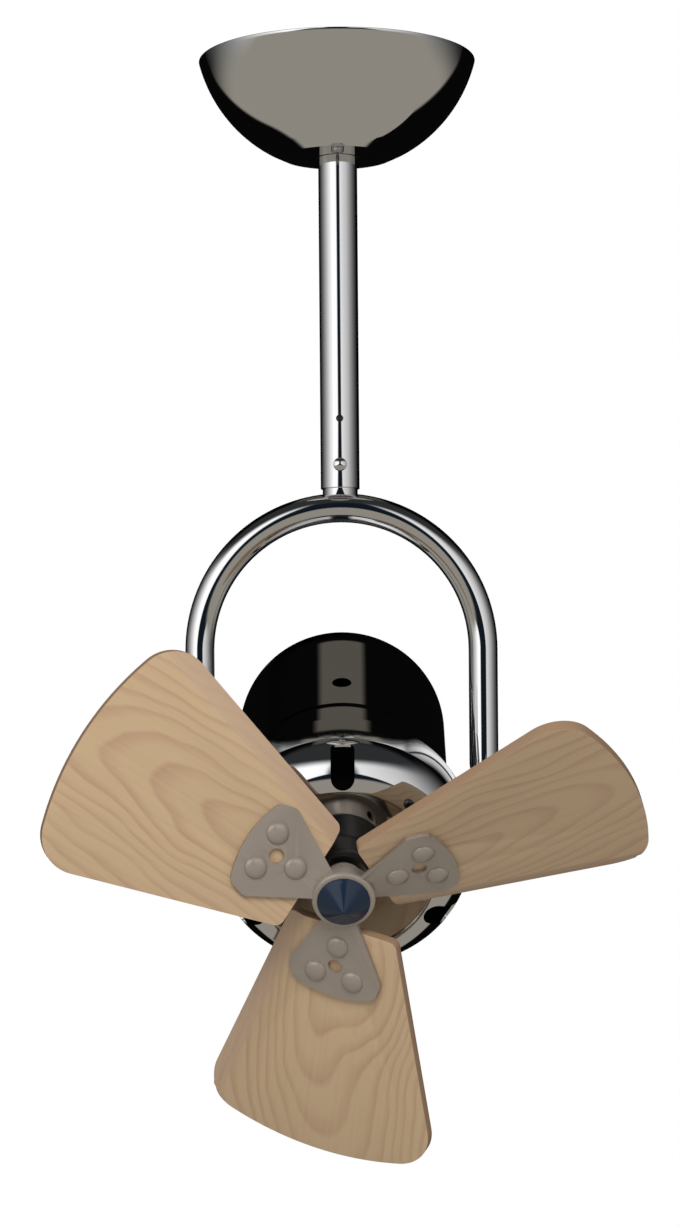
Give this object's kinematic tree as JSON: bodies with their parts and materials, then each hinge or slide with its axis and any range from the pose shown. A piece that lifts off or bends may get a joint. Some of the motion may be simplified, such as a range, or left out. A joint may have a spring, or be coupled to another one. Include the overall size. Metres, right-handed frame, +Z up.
{
  "type": "directional ceiling fan",
  "caption": "Small chrome ceiling fan with a bowl canopy, short rod and U yoke: the round motor head tilts in the yoke, the yoke turns on the rod, and broad flat wooden blades spin.",
  "frame": {"origin": "on the ceiling plane, midway between the two bracket bolts, on the axis of the rod", "axes": "+Z up into the ceiling, -Y the side the head looks to at rest, +X to the right seen from there"},
  "size_m": [0.317, 0.2847, 0.6043],
  "materials": {
    "chrome": "polished chrome plate",
    "maple": "clear satin varnish",
    "taupe_metal": "satin",
    "blue_grey_enamel": "gloss",
    "dark_steel": "blackened",
    "zinc_steel": "zinc plated",
    "dark_casting": "painted dark grey",
    "cast_aluminium": "as cast",
    "copper_wire": "enamelled copper",
    "grey_polymer": "matt"
  },
  "bodies": {
    "ceiling_mount": {"ceiling_bracket": "zinc_steel", "hanger_ball": "grey_polymer", "hanger_pin": "zinc_steel", "canopy": "chrome", "canopy_screws": "chrome", "downrod": "chrome", "swivel_pin": "chrome", "swivel_lock_screw": "dark_steel"},
    "yoke": {"yoke_stem": "chrome", "yoke_tube": "chrome"},
    "motor_head": {"pivot_boss_left": "chrome", "pivot_boss_right": "chrome", "friction_washer_left": "grey_polymer", "friction_washer_right": "grey_polymer", "pivot_washer_left": "chrome", "pivot_washer_right": "chrome", "pivot_bolt_left": "chrome", "pivot_bolt_right": "chrome", "motor_shell": "chrome", "rear_cover": "chrome", "rear_cover_screws": "zinc_steel", "front_cover": "chrome", "front_cover_screws": "dark_steel", "front_shield": "dark_casting", "rear_shield": "cast_aluminium", "tie_bolts": "zinc_steel", "stator_core": "zinc_steel", "stator_windings": "copper_wire", "front_bearing": "zinc_steel", "rear_bearing": "zinc_steel", "capacitor": "grey_polymer"},
    "rotor": {"rotor_shaft": "dark_steel", "rotor_core": "cast_aluminium", "blade_spider": "taupe_metal", "hub_screw": "dark_steel", "nose_cone": "blue_grey_enamel", "blade_1": "maple", "blade_2": "maple", "blade_3": "maple", "blade_rivets_1": "taupe_metal", "blade_rivets_2": "taupe_metal", "blade_rivets_3": "taupe_metal"}
  },
  "joints": [
    {"name": "yoke_swivel", "type": "hinge", "parent": "ceiling_mount", "child": "yoke", "pos_m": [0, 0, -0.2392], "axis": [0, 0, 1], "range_deg": [-170, 170]},
    {"name": "head_tilt", "type": "hinge", "parent": "yoke", "child": "motor_head", "pos_m": [0, 0, -0.41293], "axis": [1, 0, 0], "range_deg": [-31.3, 148.7]},
    {"name": "rotor_spin", "type": "hinge", "parent": "motor_head", "child": "rotor", "pos_m": [0, 0, -0.41293], "axis": [0, -0.8545, -0.5195], "continuous": true}
  ]
}
